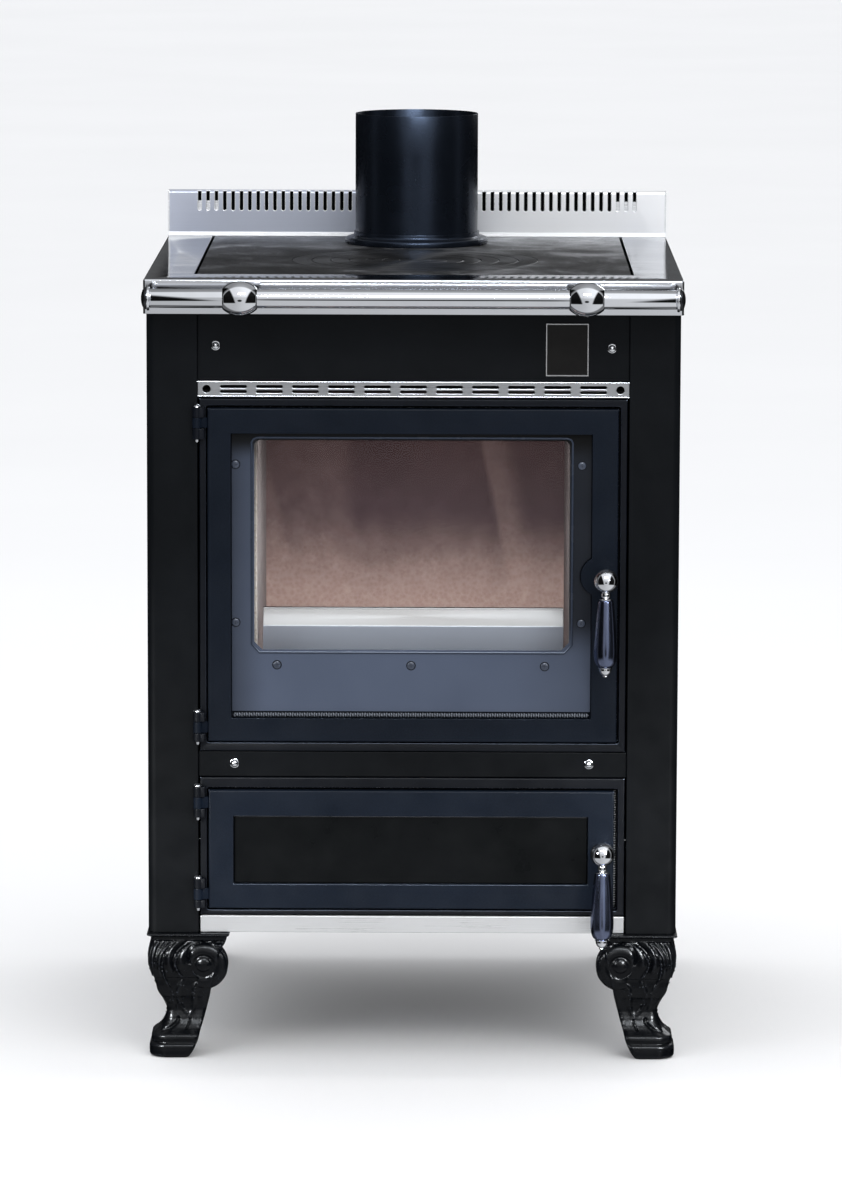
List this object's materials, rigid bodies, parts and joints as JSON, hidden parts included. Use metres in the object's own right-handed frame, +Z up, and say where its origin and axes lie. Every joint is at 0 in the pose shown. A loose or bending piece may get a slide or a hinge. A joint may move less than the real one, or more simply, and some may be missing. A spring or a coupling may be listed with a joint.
{
  "type": "wood cookstove",
  "caption": "Free-standing wood cookstove: glazed firebox door over an ash door, cast hob with lift-out rings, slotted backsplash, towel rail, flue stub and scrolled cast legs.",
  "frame": {"origin": "on the floor, at the middle of the stove's bounding box seen from above", "axes": "+Z up, -Y to the front (the side with the doors), +X to the right of a person facing the front"},
  "size_m": [0.62, 0.676, 1.073],
  "materials": {
    "casing_paint": "satin",
    "badge_bronze": "satin",
    "brushed_stainless": "brushed",
    "polished_stainless": "polished",
    "chrome": "polished",
    "frame_cast_iron": "satin painted",
    "hinge_steel": "satin",
    "retainer_paint": "satin",
    "panel_gloss_black": "satin",
    "rope_fibre": "braided",
    "plate_steel": "matt",
    "grate_cast_iron": "matt",
    "vermiculite": "matt",
    "hob_cast_iron": "ground",
    "flue_black": "matt",
    "leg_cast_iron": "satin painted",
    "glass": "clear",
    "grip_black": "gloss"
  },
  "bodies": {
    "root": {"air_shutter_guides": "casing_paint", "ash_box": "plate_steel", "ash_front_frame": "frame_cast_iron", "backsplash": "brushed_stainless", "badge_plate": "badge_bronze", "baffle_plate": "vermiculite", "base_pan": "casing_paint", "door_rope_seals": "rope_fibre", "fire_grate": "grate_cast_iron", "firebox_front_frame": "frame_cast_iron", "firebox_shell": "plate_steel", "flue_collar": "flue_black", "flue_pipe": "flue_black", "hearth_brick": "vermiculite", "hinge_lugs": "frame_cast_iron", "hinge_pins": "hinge_steel", "hob_frame": "polished_stainless", "hob_plate": "hob_cast_iron", "left_side_panel": "casing_paint", "leg_bolts": "hinge_steel", "leg_front_left": "leg_cast_iron", "leg_front_right": "leg_cast_iron", "leg_rear_left": "leg_cast_iron", "leg_rear_right": "leg_cast_iron", "log_guard": "brushed_stainless", "lower_cross_panel": "casing_paint", "panel_dome_nuts": "chrome", "plinth_strip": "brushed_stainless", "rail_brackets": "chrome", "rail_end_caps": "chrome", "rear_panel": "casing_paint", "right_side_panel": "casing_paint", "smoke_chamber": "plate_steel", "towel_rail": "chrome", "upper_fascia": "casing_paint", "vent_strip": "brushed_stainless", "vermiculite_back": "vermiculite", "vermiculite_sides": "vermiculite"},
    "firebox_door": {"firebox_door_frame": "frame_cast_iron", "glass_retainer_plate": "retainer_paint", "retainer_screws": "hinge_steel", "door_glass": "glass", "glass_gasket": "rope_fibre", "firebox_hinge_arms": "frame_cast_iron"},
    "firebox_handle": {"firebox_handle_spindle": "chrome", "firebox_handle_grip": "grip_black", "firebox_handle_trim": "chrome", "firebox_latch_tongue": "hinge_steel"},
    "ash_door": {"ash_door_frame": "frame_cast_iron", "ash_door_panel": "panel_gloss_black", "ash_hinge_arms": "frame_cast_iron"},
    "ash_handle": {"ash_handle_spindle": "chrome", "ash_handle_grip": "grip_black", "ash_handle_trim": "chrome", "ash_latch_tongue": "hinge_steel"},
    "ash_pan": {"ash_pan": "plate_steel"},
    "hob_ring_outer": {"hob_ring_outer": "hob_cast_iron"},
    "hob_ring_inner": {"hob_ring_inner": "hob_cast_iron"},
    "hob_plug": {"hob_plug": "hob_cast_iron"},
    "air_shutter": {"air_shutter": "casing_paint"}
  },
  "joints": [
    {"name": "firebox_door_hinge", "type": "hinge", "parent": "root", "child": "firebox_door", "pos_m": [-0.2494, -0.2575, 0.5705], "axis": [0, 0, -1], "range_deg": [0, 120]},
    {"name": "firebox_handle_turn", "type": "hinge", "parent": "firebox_door", "child": "firebox_handle", "pos_m": [0.2226, -0.284, 0.5675], "axis": [0, 1, 0], "range_deg": [0, 90]},
    {"name": "ash_door_hinge", "type": "hinge", "parent": "root", "child": "ash_door", "pos_m": [-0.2494, -0.2575, 0.2465], "axis": [0, 0, -1], "range_deg": [0, 120]},
    {"name": "ash_handle_turn", "type": "hinge", "parent": "ash_door", "child": "ash_handle", "pos_m": [0.2209, -0.284, 0.2471], "axis": [0, 1, 0], "range_deg": [0, 90]},
    {"name": "ash_pan_slide", "type": "slide", "parent": "root", "child": "ash_pan", "axis": [0, -1, 0], "range_m": [0, 0.19]},
    {"name": "hob_ring_outer_lift", "type": "slide", "parent": "root", "child": "hob_ring_outer", "axis": [0, 0, 1], "range_m": [0, 0.06]},
    {"name": "hob_ring_inner_lift", "type": "slide", "parent": "hob_ring_outer", "child": "hob_ring_inner", "axis": [0, 0, 1], "range_m": [0, 0.06]},
    {"name": "hob_plug_lift", "type": "slide", "parent": "hob_ring_inner", "child": "hob_plug", "axis": [0, 0, 1], "range_m": [0, 0.06]},
    {"name": "air_shutter_slide", "type": "slide", "parent": "root", "child": "air_shutter", "axis": [-1, 0, 0], "range_m": [0, 0.02]}
  ],
  "couplings": [
    {"joint": "ash_pan_slide", "follows": "ash_door_hinge", "m_per_rad": 0.09}
  ]
}
